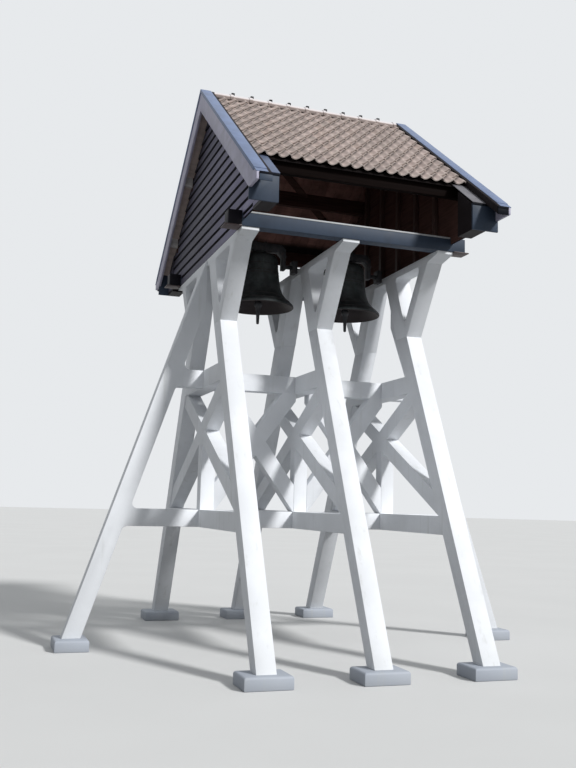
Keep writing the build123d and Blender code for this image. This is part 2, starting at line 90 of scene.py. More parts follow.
class RoofSizes(bpy.types.PropertyGroup):
    columns: bpy.props.IntProperty(name="Columns", description="Pantiles in one course", default=18)
    courses: bpy.props.IntProperty(name="Courses", description="Courses on one slope", default=11)
    tile_thickness: bpy.props.FloatProperty(
        name="Tile thickness", description="Thickness of the fired clay", default=0.014, unit="LENGTH")
    tile_roll: bpy.props.FloatProperty(
        name="Roll height", description="Height of a pantile's roll", default=0.023, unit="LENGTH")
    ridge_count: bpy.props.IntProperty(name="Ridge tiles", description="Tiles on the ridge", default=10)
    board_pitch: bpy.props.FloatProperty(
        name="Weatherboard pitch", description="Height from one board to the next", default=0.1535,
        unit="LENGTH")
    plank_width: bpy.props.FloatProperty(
        name="Roof plank", description="Width of a plank under the tiles", default=0.1505, unit="LENGTH")
    clay: bpy.props.FloatVectorProperty(
        name="Clay", description="Weathered clay", subtype="COLOR", default=(0.45, 0.365, 0.335))
    boards: bpy.props.FloatVectorProperty(
        name="Weatherboards", description="Dark stain", subtype="COLOR", default=(0.170, 0.160, 0.235))
    cover: bpy.props.FloatVectorProperty(
        name="Verge cover", description="Blue-grey paint", subtype="COLOR", default=(0.15, 0.195, 0.315))
    trim: bpy.props.FloatVectorProperty(
        name="Bargeboards", description="Light grey paint", subtype="COLOR", default=(0.41, 0.395, 0.50))
    eave: bpy.props.FloatVectorProperty(
        name="Eaves", description="Dark blue-grey paint", subtype="COLOR", default=(0.031, 0.046, 0.073))
    timber: bpy.props.FloatVectorProperty(
        name="Timber", description="Bare timber inside", subtype="COLOR", default=(0.235, 0.120, 0.100))


class BellSizes(bpy.types.PropertyGroup):
    turns: bpy.props.IntProperty(name="Facets", description="Steps round a bell", default=96)
    bronze: bpy.props.FloatVectorProperty(
        name="Bronze", description="Dark patina", subtype="COLOR", default=(0.052, 0.058, 0.060))
    iron: bpy.props.FloatVectorProperty(
        name="Iron", description="Painted ironwork", subtype="COLOR", default=(0.035, 0.036, 0.040))


class StageSizes(bpy.types.PropertyGroup):
    floor: bpy.props.FloatVectorProperty(
        name="Floor", description="Pale floor", subtype="COLOR", default=(0.70, 0.70, 0.69))
    key: bpy.props.FloatProperty(name="Key", description="Strength of the main light", default=3.1)
    fill: bpy.props.FloatProperty(name="Fill", description="Strength of the even light", default=0.42)


# Shader maths
class Term:
    """One output socket; sums, products and the like add their Math nodes."""

    def __init__(self, nodes, socket):
        self.nodes = nodes
        self.socket = socket

    def __add__(self, other):
        return self.nodes.math("ADD", self, other)

    __radd__ = __add__

    def __mul__(self, other):
        return self.nodes.math("MULTIPLY", self, other)

    __rmul__ = __mul__

    def __sub__(self, other):
        return self.nodes.math("SUBTRACT", self, other)

    def __rsub__(self, other):
        return self.nodes.math("SUBTRACT", other, self)

    def __truediv__(self, other):
        return self.nodes.math("DIVIDE", self, other)

    def __abs__(self):
        return self.nodes.math("ABSOLUTE", self)

    def __floor__(self):
        return self.nodes.math("FLOOR", self)


class Nodes:
    """A node tree, and the calls that add nodes to it."""

    def __init__(self, tree):
        self.tree = tree

    def node(self, kind, out=0, settings=None, **sockets):
        """Add one node: settings first, then its sockets by name or as i0, i1; gives the output out."""
        made = self.tree.nodes.new(kind)
        for key, value in (settings or {}).items():
            setattr(made, key, value)
        for key, value in sockets.items():
            self.feed(made.inputs[int(key[1:]) if key[1:].isdigit() else key.replace("_", " ")], value)
        return Term(self, made.outputs[out])

    def feed(self, socket, value):
        """Link a term to a socket, or set a plain value on it."""
        if isinstance(value, Term):
            self.tree.links.new(value.socket, socket)
        elif value is not None:
            socket.default_value = value

    def math(self, operation, a, b=None):
        return self.node("ShaderNodeMath", 0, {"operation": operation}, i0=a, i1=b)

    def backdrop(self):
        """1 for the rays that show the floor and the world, 0 for those that light the tower."""
        seen, mirrored, through = [self.node("ShaderNodeLightPath", ray) for ray in
                                   ("Is Camera Ray", "Is Glossy Ray", "Is Transmission Ray")]
        return self.math("MAXIMUM", seen, self.math("MAXIMUM", mirrored, through))


class Paint(Nodes):
    """A material with one principled shader, and the patterns and colours that are laid on it."""

    def __init__(self, name):
        self.material = bpy.data.materials.new(name)
        self.material.use_nodes = True
        super().__init__(self.material.node_tree)
        self.shader = self.tree.nodes["Principled BSDF"]
        self.place = self.node("ShaderNodeTexCoord", "Object")

    def axis(self, name, of=None):
        """X, Y or Z of the place on the piece, or of another vector."""
        return self.node("ShaderNodeSeparateXYZ", name, Vector=of or self.place)

    def stretched(self, scale):
        """The place on the piece, scaled by axis, which draws a pattern out along the small ones."""
        return self.node("ShaderNodeMapping", Vector=self.place, Scale=scale)

    def noise(self, scale, detail=3.0, rough=0.55, at=None):
        return self.node("ShaderNodeTexNoise", Vector=at or self.place,
                         Scale=scale, Detail=detail, Roughness=rough)

    def ramp(self, value, low, high):
        """0 below low, 1 above high, smooth between."""
        return self.node("ShaderNodeMapRange", 0, {"interpolation_type": "SMOOTHSTEP"},
                         i0=value, i1=low, i2=high)

    def blend(self, share, first, second):
        """The first colour, the second, or between them, by the second's share."""
        first, second = [one if isinstance(one, Term) else (*one, 1.0) for one in (first, second)]
        return self.node("ShaderNodeMix", 2, {"data_type": "RGBA"}, i0=share, i6=first, i7=second)

    def mottled(self, color, value, low, high, first, last):
        """The colour in two strengths: the first where a value is low, the last where it is high."""
        return self.blend(self.ramp(value, low, high), rgb(color, first), rgb(color, last))

    def coats(self, base, **coats):
        """Colours laid one over the other; each is named, and says where it lies and its colour."""
        for share, color in coats.values():
            base = self.blend(share, base, color)
        return base

    def tint(self, color, value):
        """Colour brightened or darkened by a value round 1."""
        return self.node("ShaderNodeHueSaturation", Color=color, Value=value)

    def cell(self, *values):
        """Random value from 0 to 1 for each whole-number cell."""
        vector = self.node("ShaderNodeCombineXYZ", **{f"i{i}": v for i, v in enumerate(values)})
        return self.node("ShaderNodeTexWhiteNoise", "Value", {"noise_dimensions": "3D"}, Vector=vector)

    def dress(self, color, roughness, height=None, depth=0.0, strength=0.0, metallic=0.0, gloss=0.5):
        """Colour, roughness, bump, metal and specular level on the shader."""
        for name, value in (("Base Color", color), ("Roughness", roughness),
                            ("Metallic", metallic), ("Specular IOR Level", gloss)):
            self.feed(self.shader.inputs[name], value)
        if height is not None:
            bump = self.node("ShaderNodeBump", Height=height, Distance=depth, Strength=strength)
            self.feed(self.shader.inputs["Normal"], bump)
        return self.material


def rgb(color, gain):
    """A colour made lighter or darker."""
    return tuple(min(1.0, channel * gain) for channel in color)


def concrete_paint(name, color):
    """Masonry paint with rain streaks, dirt near the ground and a fine sandy grain."""
    paint = Paint(name)
    cloud = paint.noise(1.3, 4.0)
    streaks = paint.noise(1.0, 4.0, 0.6, paint.stretched((9, 9, 0.55)))
    grain = paint.noise(140.0, 3.0, 0.7)
    pores = paint.noise(38.0, 2.0, 0.5)
    low = 1 - paint.ramp(paint.axis("Z") + cloud * 0.5, 0.12, 0.85)
    base = paint.coats(
        paint.mottled(color, cloud, 0.35, 0.7, 0.93, 1.03),
        rain_streaks=(paint.ramp(streaks, 0.56, 0.78) * 0.34, (0.47, 0.48, 0.44)),
        ground_dirt=(low * (0.16 + 0.22 * paint.ramp(cloud, 0.35, 0.65)), (0.40, 0.40, 0.35)))
    base = paint.tint(base, 0.97 + grain * 0.06)
    height = grain * 0.35 + pores * 0.65 + streaks * 0.25
    return paint.dress(base, 0.56 + pores * 0.22, height, 0.0022, 0.55)


def clay(color, columns, exposure):
    """Fired clay, each tile its own tone; painted shade under the course above, a painted highlight at its
    lower edge.
    """
    paint = Paint("pantile_clay")
    y = paint.axis("Y")
    column = floor((paint.axis("X") + TILE_HALF) / (2 * TILE_HALF / columns))
    level = abs(y) / exposure
    course = floor(level)
    down = level - course
    side = paint.math("SIGN", y)
    shade = paint.cell(column, course, side)
    warm = paint.cell(course, column, side * 7.0)
    speckle = paint.noise(70.0, 4.0, 0.7)
    patches = paint.noise(11.0, 4.0, 0.6)
    base = paint.coats(
        paint.mottled(color, shade, 0.0, 1.0, 0.88, 1.12),
        redder_tiles=(paint.ramp(warm, 0.8, 1.0) * 0.25, (0.40, 0.27, 0.21)),
        dust=(paint.ramp(patches, 0.52, 0.72) * 0.4, (0.44, 0.40, 0.35)),
        soot=(paint.ramp(speckle, 0.58, 0.72) * 0.35, (0.14, 0.125, 0.115)),
        lichen=(paint.ramp(paint.noise(26.0, 2.0), 0.62, 0.7) * 0.4, (0.58, 0.56, 0.47)),
        # Painted shade under the lap of the course above, and a painted highlight along each tile's lower
        # edge
        under_lap=((1 - paint.ramp(down, 0.08, 0.40)) * 0.85, rgb(color, 0.25)),
        lower_edge=(paint.ramp(down, 0.70, 0.92) * 0.35, (0.62, 0.55, 0.50)))
    return paint.dress(base, 0.74 + speckle * 0.2, speckle * 0.6 + patches, 0.003, 0.7)


def ridge_clay(color, crest):
    """Clay of the ridge, with painted shade along its lower edges and pale along its crest."""
    paint = Paint("ridge_clay")
    z = paint.axis("Z")
    speckle = paint.noise(60.0, 4.0, 0.7)
    patches = paint.noise(9.0, 3.0, 0.6)
    crown = paint.mottled(color, patches, 0.35, 0.68, 0.85, 1.15)
    base = paint.coats(
        # Painted shade: the clay is darkened along the ridge tiles' lower edges
        paint.blend(paint.ramp(z, crest - 0.084, crest - 0.070), rgb(color, 0.5), crown),
        bleached=(paint.ramp(z, crest - 0.072, crest - 0.058), (0.70, 0.66, 0.66)),
        soot=(paint.ramp(speckle, 0.55, 0.72) * 0.4, (0.15, 0.14, 0.125)))
    return paint.dress(base, 0.72 + speckle * 0.2, speckle + patches, 0.003, 0.6)


def grain_of(paint, along):
    """Wood grain that runs along one axis: lines, and the slow waves between them."""
    grain = []
    for drawn, fine, rough in ((2.0, 70, 0.65), (0.9, 14, 0.5)):
        place = paint.stretched([drawn if axis == along else fine for axis in "xyz"])
        grain.append(paint.noise(1.0, 3.0, rough, place))
    return grain


def weatherboard_stain(color, pitch):
    """Dark stain, greyer low on each board; painted light at the front, painted shade at the back and on
    each lower edge.
    """
    paint = Paint("weatherboard_stain")
    lines, waves = grain_of(paint, "y")
    level = (paint.axis("Z") - GABLE_LOW.z + 0.003) / pitch
    board = floor(level)
    up = level - board
    shade = paint.cell(board, 3.0, paint.math("SIGN", paint.axis("X")))
    # Painted light and shade: the mask below is 1 at the front and 0 at the back; it brightens the boards
    # at the front, darkens them at the back and strengthens their grey lower bands at the front
    wet_y, dry_y = -2.3, 0.9
    rain = 1 - paint.ramp(paint.axis("Y"), wet_y, dry_y)
    wear = (1 - paint.ramp(up, 0.0, 0.34)) * paint.ramp(waves, 0.3, 0.65)
    base = paint.blend(shade, rgb(color, 0.72), rgb(color, 1.3))
    base = paint.coats(
        paint.tint(base, 0.34 + rain * 0.95),
        worn_edge=(wear * (0.05 + rain * 0.5), (0.25, 0.24, 0.35)),
        dark_grain=(paint.ramp(lines, 0.55, 0.8) * 0.5, rgb(color, 0.38)),
        # Painted shade: black along the bottom edge of each board, where it laps over the board below
        lap=(1 - paint.ramp(up, 0.030, 0.045), (0.006, 0.006, 0.008)))
    return paint.dress(base, 0.5 + waves * 0.3, lines + waves * 0.6, 0.0022, 0.7, gloss=0.3)


def board_backing(brown):
    """Painted shade: black on the sheet behind the boards, where it shows between their laps; brown on the
    side that shows inside the roof.
    """
    paint = Paint("board_backing")
    lines = grain_of(paint, "y")[0]
    wood = paint.mottled(brown, lines, 0.4, 0.75, 1.0, 0.5)
    outer = paint.ramp(abs(paint.axis("X")), GABLE_LOW.x + 0.001, GABLE_LOW.x + 0.003)
    base = paint.blend(outer, wood, (0.005, 0.005, 0.007))
    return paint.dress(base, 0.8, lines, 0.001, 0.4, gloss=0.05)


# Way of the grain, dirt in the hollows, colour of the thin places, how much of both, and gloss
PAINTS = {
    "verge_cover": ("y", (0.09, 0.11, 0.15), (0.40, 0.43, 0.48), 0.22, 0.5),
    "bargeboard_paint": ("y", (0.20, 0.19, 0.20), (0.50, 0.49, 0.48), 0.30, 0.5),
    "eave_paint": ("x", (0.02, 0.025, 0.035), (0.12, 0.13, 0.15), 0.25, 0.25),
    "verge_side": ("y", (0.006, 0.005, 0.006), (0.04, 0.03, 0.03), 0.30, 0.1),
    "shaded_edge": ("y", (0.004, 0.004, 0.006), (0.015, 0.016, 0.02), 0.30, 0.05),
    "strip_cover_blue": ("y", (0.05, 0.06, 0.09), (0.2, 0.22, 0.26), 0.30, 0.5),
    "strip_cover_grey": ("y", (0.1, 0.1, 0.11), (0.3, 0.3, 0.31), 0.30, 0.5),
    "clip_black": ("y", (0.006, 0.006, 0.006), (0.03, 0.03, 0.03), 0.30, 0.1),
    "stud_timber": ("z", (0.03, 0.018, 0.014), (0.2, 0.12, 0.09), 0.30, 0.5),
    "sill_paint": ("x", (0.02, 0.025, 0.035), (0.16, 0.17, 0.19), 0.25, 0.25),
    "sill_end_tar": ("z", (0.006, 0.006, 0.006), (0.03, 0.028, 0.03), 0.30, 0.1),
    "sill_flashing": ("x", (0.15, 0.15, 0.15), (0.6, 0.6, 0.6), 0.30, 0.5),
    "sill_plate": ("x", (0.02, 0.015, 0.015), (0.12, 0.09, 0.08), 0.30, 0.5),
}


def board_paint(name, color):
    """Paint on planed wood or sheet: grain under the film, dirt in the hollows, thin places."""
    along, dirt, thin, amount, gloss = PAINTS[name]
    paint = Paint(name)
    lines, waves = grain_of(paint, along)
    blotch = paint.noise(5.0, 4.0, 0.6)
    base = paint.coats(
        paint.mottled(color, blotch, 0.3, 0.7, 0.86, 1.12),
        dirt=(paint.ramp(waves, 0.58, 0.8) * amount, dirt),
        thin_places=(paint.ramp(lines, 0.66, 0.82) * amount, thin))
    return paint.dress(base, 0.42 + blotch * 0.25, lines + waves * 0.5, 0.0012, 0.45, gloss=gloss)


def beyond(paint, reach):
    """1 where a piece lies further than this from the middle of the ridge, 0 where it is nearer."""
    return paint.ramp(abs(paint.axis("X")), reach - 0.002, reach + 0.002)


def roof_timber(color, soffit, plank_width):
    """Timber browned under the tiles, black at the eaves, painted as a soffit outside the gables."""
    paint = Paint("roof_timber")
    y = paint.axis("Y")
    lines, waves = grain_of(paint, "x")
    blotch = paint.noise(3.2, 4.0, 0.6)
    shade = paint.cell(floor(paint.axis("X") / plank_width), paint.math("SIGN", y), 2.0)
    base = paint.coats(
        paint.mottled(color, blotch, 0.25, 0.75, 0.62, 1.35),
        dark_grain=(paint.ramp(lines, 0.5, 0.75) * 0.6, rgb(color, 0.42)))
    painted = paint.blend(paint.ramp(waves, 0.35, 0.75) * 0.5, soffit, rgb(soffit, 0.6))
    dim_from, black_from = TILE_EDGE_Y - 0.42, TILE_EDGE_Y - 0.30
    base = paint.coats(
        paint.tint(base, 0.78 + shade * 0.5),
        eave_shade=(paint.ramp(abs(y), dim_from, black_from), (0.006, 0.004, 0.004)),
        soffit_paint=(beyond(paint, GABLE_HIGH.x - 0.02), painted))
    return paint.dress(base, 0.74 + waves * 0.2, lines + waves, 0.002, 0.6, gloss=0.1)


def end_painted_timber(name, color, light):
    """Purlin timber whose ends outside the gables are painted light grey."""
    paint = Paint(name)
    lines, waves = grain_of(paint, "x")
    wood = paint.mottled(color, lines, 0.4, 0.75, 1.2, 0.5)
    coat = paint.blend(paint.ramp(waves, 0.4, 0.75) * 0.5, light, rgb(light, 0.7))
    base = paint.blend(beyond(paint, GABLE_HIGH.x), wood, coat)
    return paint.dress(base, 0.66 + waves * 0.2, lines + waves, 0.0016, 0.5, gloss=0.05)


def bronze_patina(color):
    """Cast bronze gone dark, greener where water runs, browner where it faces down."""
    paint = Paint("bell_bronze")
    downward = 0 - paint.axis("Z", paint.node("ShaderNodeTexCoord", "Normal"))
    cloud = paint.noise(7.0, 5.0, 0.62)
    runs = paint.noise(1.0, 4.0, 0.6, paint.stretched((22, 22, 1.6)))
    pits = paint.noise(150.0, 3.0, 0.6)
    base = paint.coats(
        paint.mottled(color, cloud, 0.35, 0.7, 0.7, 1.5),
        verdigris=(paint.ramp(runs, 0.52, 0.74) * 0.5, (0.06, 0.095, 0.085)),
        pits=(paint.ramp(pits, 0.6, 0.8) * 0.3, (0.02, 0.022, 0.022)),
        underside=(paint.ramp(downward, 0.02, 0.14) * 0.85, (0.022, 0.013, 0.013)))
    return paint.dress(base, 0.42 + cloud * 0.3, pits + cloud * 0.6, 0.0016, 0.5, metallic=0.55)


def forged_iron(color):
    """Painted iron with rust coming through in patches."""
    paint = Paint("forged_iron")
    cloud = paint.noise(16.0, 5.0, 0.65)
    pits = paint.noise(120.0, 3.0, 0.6)
    base = paint.coats(
        paint.mottled(color, cloud, 0.3, 0.7, 0.7, 1.6),
        rust=(paint.ramp(cloud * pits, 0.30, 0.42) * 0.7, (0.13, 0.055, 0.028)))
    return paint.dress(base, 0.48 + cloud * 0.3, pits + cloud, 0.0014, 0.5, metallic=0.3)


# Modelling by hand, in code
def deselect():
    if bpy.context.object and bpy.context.object.mode != "OBJECT":
        bpy.ops.object.mode_set(mode="OBJECT")
    bpy.ops.object.select_all(action="DESELECT")


def pick(*objects):
    deselect()
    for one in objects:
        one.select_set(True)
    bpy.context.view_layer.objects.active = objects[0]


def apply_place():
    """The active piece at the origin, with its place in its mesh."""
    bpy.ops.object.transform_apply(location=True, rotation=True, scale=True)


def open_mesh(obj):
    """Edit mode, with all of the mesh selected."""
    pick(obj)
    bpy.ops.object.mode_set(mode="EDIT")
    bpy.ops.mesh.select_all(action="SELECT")


def close_mesh():
    bpy.ops.object.mode_set(mode="OBJECT")


def modifier(obj, kind, **settings):
    """Add a modifier and apply it."""
    pick(obj)
    made = obj.modifiers.new(kind, kind)
    for key, value in settings.items():
        setattr(made, key, value)
    bpy.ops.object.modifier_apply(modifier=made.name)
    return obj


def shade(obj, angle=35):
    pick(obj)
    bpy.ops.object.shade_smooth_by_angle(angle=radians(angle))
    return obj


def soften(obj, width, segments=2, angle=30):
    """Break the sharp edges, as a mould or a plane leaves them."""
    modifier(obj, "BEVEL", width=width, segments=segments, limit_method="ANGLE",
             angle_limit=radians(angle), use_clamp_overlap=True)
    return shade(obj)


def from_node(node, name):
    """A copy of a solid's mesh as a new piece, merged and with its flats cleaned."""
    obj = bpy.data.objects.new(name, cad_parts[node].data.copy())
    bpy.context.scene.collection.objects.link(obj)
    obj.data.materials.clear()
    open_mesh(obj)
    bpy.ops.mesh.customdata_custom_splitnormals_clear()
    bpy.ops.mesh.remove_doubles(threshold=STEP)
    bpy.ops.mesh.dissolve_limited(angle_limit=radians(0.5))
    close_mesh()
    return obj


def block(name, corner, opposite):
    """Squared timber or plate between two opposite corners, ready to be shaped."""
    deselect()
    low = Vector([min(pair) for pair in zip(corner, opposite)])
    high = Vector([max(pair) for pair in zip(corner, opposite)])
    bpy.ops.mesh.primitive_cube_add(size=1, location=(low + high) / 2, scale=high - low)
    obj = bpy.context.object
    obj.name = name
    apply_place()
    return obj


def choose(obj, test):
    """Enter edit mode with only the vertices that pass the test selected."""
    pick(obj)
    bpy.ops.object.mode_set(mode="EDIT")
    bpy.ops.mesh.select_mode(type="VERT")
    bpy.ops.mesh.select_all(action="DESELECT")
    close_mesh()
    for vertex in obj.data.vertices:
        vertex.select = test(vertex.co)
    bpy.ops.object.mode_set(mode="EDIT")


def cut(obj, point, normal, fill=True):
    """Saw off what lies on the normal's side of a plane."""
    open_mesh(obj)
    bpy.ops.mesh.bisect(plane_co=point, plane_no=normal, use_fill=fill, clear_outer=True, threshold=STEP)
    close_mesh()
    return obj


def put(obj, matrix):
    """Move and turn a piece, with its place then in its mesh."""
    pick(obj)
    obj.matrix_world = matrix
    apply_place()
    return obj


def copies(obj, matrices):
    """Copies of a piece, each with its own mesh, at these places."""
    made = []
    for index, matrix in enumerate(matrices):
        one = bpy.data.objects.new(f"{obj.name}_{index:02d}", obj.data.copy())
        bpy.context.scene.collection.objects.link(one)
        one.matrix_world = matrix
        made.append(one)
    return made


def twin(obj):
    """A copy of a piece where it stands."""
    return copies(obj, [Matrix.Identity(4)])[0]


def join(objects, name):
    """Several parts as one piece, at the origin."""
    pick(*objects)
    if len(objects) > 1:
        bpy.ops.object.join()
    obj = bpy.context.object
    obj.name = name
    apply_place()
    return obj


def remove(obj):
    bpy.data.objects.remove(obj)


def stood(place, along):
    """Matrix that stands a piece made upright at the origin on a place, along a direction."""
    turn = Vector((0, 0, 1)).rotation_difference(Vector(along)).to_matrix().to_4x4()
    return Matrix.Translation(Vector(place)) @ turn


def turned(name, points, steps, place, along=(0, 0, 1)):
    """Lathe work: the profile (radius, height) is drawn point by point and spun about an axis."""
    deselect()
    bpy.ops.mesh.primitive_plane_add(size=0.01, location=(0, 0, 0))
    obj = bpy.context.object
    obj.name = name
    open_mesh(obj)
    bpy.ops.mesh.merge(type="CENTER")
    bpy.ops.transform.translate(value=(points[0][0], 0, points[0][1]))
    for (r0, z0), (r1, z1) in zip(points, points[1:]):
        bpy.ops.mesh.extrude_vertices_move(TRANSFORM_OT_translate={"value": (r1 - r0, 0, z1 - z0)})
    bpy.ops.mesh.select_all(action="SELECT")
    bpy.ops.mesh.spin(steps=steps, angle=tau, center=(0, 0, 0), axis=(0, 0, 1))
    bpy.ops.mesh.select_all(action="SELECT")
    bpy.ops.mesh.remove_doubles(threshold=STEP * 10)
    bpy.ops.mesh.normals_make_consistent(inside=False)
    close_mesh()
    return shade(put(obj, stood(place, along)), 40)


def on_slope(sign, x=0, run=0, lift=0):
    """Matrix from a slope's own axes (across, up the slope, off it) to a place run down it."""
    turn = Matrix.Rotation(PITCH, 4, "X")
    spot = Matrix.Translation(Vector((x * -sign, -run * cos(PITCH), RIDGE_Z - run * sin(PITCH))))
    front = spot @ turn @ Matrix.Translation((0, 0, lift))
    return front if sign < 0 else HALF_TURN @ front


def nut(place, along):
    """Hexagon nut with a chamfered top on a round washer."""
    width, height = 0.030, 0.016
    washer, washer_height = 0.052, 0.004
    parts = []
    for sides, radius, base, depth, chamfer in (
            (6, width / sqrt(3), washer_height, height, height * 0.18),
            (20, washer / 2, 0.0, washer_height, 0.001)):
        deselect()
        bpy.ops.mesh.primitive_cylinder_add(vertices=sides, radius=radius, depth=depth,
                                            location=(0, 0, base + depth / 2))
        parts.append(soften(bpy.context.object, chamfer, 1))
    return put(join(parts, "nut"), stood(place, along))


def settle(obj, slot, material, *nodes, body=FRAME_BODY, name=None):
    """Give a finished piece its material and its body, hide the solids that it stands for, and name it if
    a name is given.
    """
    obj.data.materials.clear()
    obj.data.materials.append(material)
    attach(obj, body)
    if nodes:
        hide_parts(*nodes)
    if name:
        obj.name = name


def recast(node, name, arris, slot, material, segments=2, body=FRAME_BODY):
    """A solid's own shape with its edges broken, as the piece that stands for it."""
    settle(soften(from_node(node, name), arris, segments), slot, material, node, body=body)


class Work(bpy.types.Operator):
    """Shared by the operators of this tower: each builds from one group of the panel's values"""
    bl_options = {"REGISTER", "UNDO"}
    group = "tower_roof"

    def execute(self, context):
        self.build(getattr(context.scene, self.group))
        return {"FINISHED"}


class TOWER_OT_concrete(Work):
    """Trestles, fork heads, braced bays, raking legs and foot blocks in painted concrete"""
    bl_idname = "tower.concrete"
    bl_label = "Concrete frame"
    group = "tower_concrete"

    def build(self, concrete):
        white = concrete_paint("painted_concrete", concrete.paint)
        grey = concrete_paint("foot_block_concrete", concrete.block)
        cast = ("trestle_frame", "fork_head", "bay_panel", "raking_frame")
        for node in sorted(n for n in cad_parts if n.startswith(cast) or n.endswith("foot_blocks")):
            paint = grey if "blocks" in node else white
            recast(node, "cast_" + node, concrete.arris, "painted_concrete", paint)


class TOWER_OT_pantiles(Work):
    """Courses of S-shaped clay tiles on both slopes"""
    bl_idname = "tower.pantiles"
    bl_label = "Pantiles"

    def tile(self, width, length, roll, thickness):
        """One pantile: a flat grid pushed into a wide trough and a narrow roll, set out in tile widths."""
        strips = 12
        overlap, trough_end, roll_end = 1.13, 0.62, 1.02
        trough_share, rise = 0.9, 0.010
        full = width * overlap
        deselect()
        bpy.ops.mesh.primitive_grid_add(x_subdivisions=strips, y_subdivisions=1, size=1)
        obj = bpy.context.object
        obj.scale = (full, length, 1)
        obj.location = (full / 2, length / 2, 0)
        apply_place()
        for strip in range(strips + 1):
            across = strip / strips * overlap
            if across < trough_end:
                lift = -roll * trough_share * sin(pi * across / trough_end)
            else:
                lift = roll * sin(pi * (across - trough_end) / (roll_end - trough_end))
            choose(obj, lambda spot: abs(spot.x - across * width) < width / strips / 3)
            bpy.ops.transform.translate(value=(0, 0, lift + rise * across))
            close_mesh()
        modifier(obj, "SOLIDIFY", thickness=thickness, offset=-1)
        return shade(obj, 50)

    def build(self, roof):
        width = 2 * TILE_HALF / roof.columns
        exposure = TILE_EDGE_Y / cos(PITCH) / roof.courses
        lap, head_drop, bed, set_back = 0.030, 0.027, -0.032, 0.004
        most_slip, most_turn = 0.004, 0.010
        trim = TILE_HALF - 0.001
        material = clay(roof.clay, roof.columns, TILE_EDGE_Y / roof.courses)
        lean = Matrix.Rotation(-head_drop / exposure, 4, "X")
        tile = self.tile(width, exposure + lap, roof.tile_roll, roof.tile_thickness)
        chance = random.Random(7)
        for row, sign in ROWS:
            for course in range(roof.courses):
                places = []
                for column in range(roof.columns):
                    slip = chance.uniform(-most_slip, most_slip)
                    turn = Matrix.Rotation(chance.uniform(-most_turn, most_turn), 4, "Z")
                    rock = Matrix.Rotation(chance.uniform(-most_turn, most_turn), 4, "Y")
                    run = (course + 1) * exposure - set_back + slip
                    place = on_slope(-1, column * width - TILE_HALF, run, bed) @ turn @ rock @ lean
                    places.append(place if sign < 0 else HALF_TURN @ place)
                piece = join(copies(tile, places), f"pantiles_{row}_{course + 1:02d}")
                for side in (1, -1):
                    cut(piece, (side * trim, 0, 0), (side, 0, 0))
                if course == 0:
                    cut(piece, (0, 0, 0), (0, -sign, 0))
                settle(piece, "roof_tiles", material, "roof_tiles_" + row)
        remove(tile)


class TOWER_OT_ridge(Work):
    """Half-round ridge tiles with their clips"""
    bl_idname = "tower.ridge"
    bl_label = "Ridge"

    def build(self, roof):
        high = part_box("ridge_tiles")[1]
        crest = high.z - 0.024
        collar_radius, tile_radius, collar = 0.100, 0.090, 0.055
        middle = crest - collar_radius
        skirt, shell, joint = 0.018, 0.012, 0.006
        strap_half, strap_reach, strap_down, strap_up = 0.024, 0.060, 0.030, 0.008
        tongue_back, tongue_front, tongue_half, tongue_foot = 0.012, 0.034, 0.018, 0.004
        length = 2 * TILE_HALF / roof.ridge_count
        parts, clips = [], []
        for index in range(roof.ridge_count):
            x = index * length - TILE_HALF
            for radius, start in ((tile_radius, 0.0), (collar_radius, length - collar)):
                deselect()
                bpy.ops.mesh.primitive_cylinder_add(
                    vertices=32, radius=radius, depth=length - start, end_fill_type="NOTHING",
                    location=(x + (start + length) / 2, 0, middle), rotation=(0, pi / 2, 0))
                bow = bpy.context.object
                apply_place()
                cut(bow, (0, 0, middle - skirt), (0, 0, -1), fill=False)
                modifier(bow, "SOLIDIFY", thickness=shell, offset=-1)
                parts.append(soften(bow, 0.003, 1, 50))
            if index:
                x -= joint
                strap = block("clip", (x - strap_half, -strap_reach, crest - strap_down),
                              (x + strap_half, strap_reach, crest + strap_up))
                tongue = block("clip", (x - tongue_back, -tongue_half, crest + tongue_foot),
                               (x + tongue_front, tongue_half, high.z))
                clips += [soften(strap, 0.004), soften(tongue, 0.005)]
        settle(join(parts, "ridge_tile_run"), "roof_tiles", ridge_clay(roof.clay, crest), "ridge_tiles")
        settle(join(clips, "ridge_clips"), "iron", board_paint("clip_black", (0.010, 0.010, 0.012)))


class TOWER_OT_planks(Work):
    """Planks under the tiles, from the ridge down to the eave"""
    bl_idname = "tower.planks"
    bl_label = "Roof planks"

    def build(self, roof):
        soffit = (0.74, 0.61, 0.56)
        material = roof_timber(roof.timber, soffit, roof.plank_width)
        thick = PLANK_THICK * cos(PITCH)
        top = -TILE_DROP * cos(PITCH)
        gap, tile_overhang, spare, over_ridge = 0.0015, 0.07, 0.1, 0.2
        count = round(2 * BOARDS_HIGH.x / roof.plank_width)
        width = 2 * BOARDS_HIGH.x / count
        edge = width / 2 - gap
        for row, sign in ROWS:
            parts = []
            for index in range(count):
                middle = -BOARDS_HIGH.x + index * width + width / 2
                on_strip = abs(middle) > STRIP_X
                reach = (BOARDS_HIGH.y if on_strip else TILE_EDGE_Y - tile_overhang) / cos(PITCH)
                plank = block("plank", (-edge, -reach - spare, -thick), (edge, over_ridge, 0))
                put(plank, on_slope(sign, middle, lift=top))
                cut(plank, (0, 0, 0), (0, -sign, 0))
                cut(plank, (0, sign * reach * cos(PITCH), 0), (0, sign, 0))
                parts.append(soften(plank, 0.0025, 1))
            settle(join(parts, "roof_planks_" + row), "timber", material, "roof_boards_" + row)


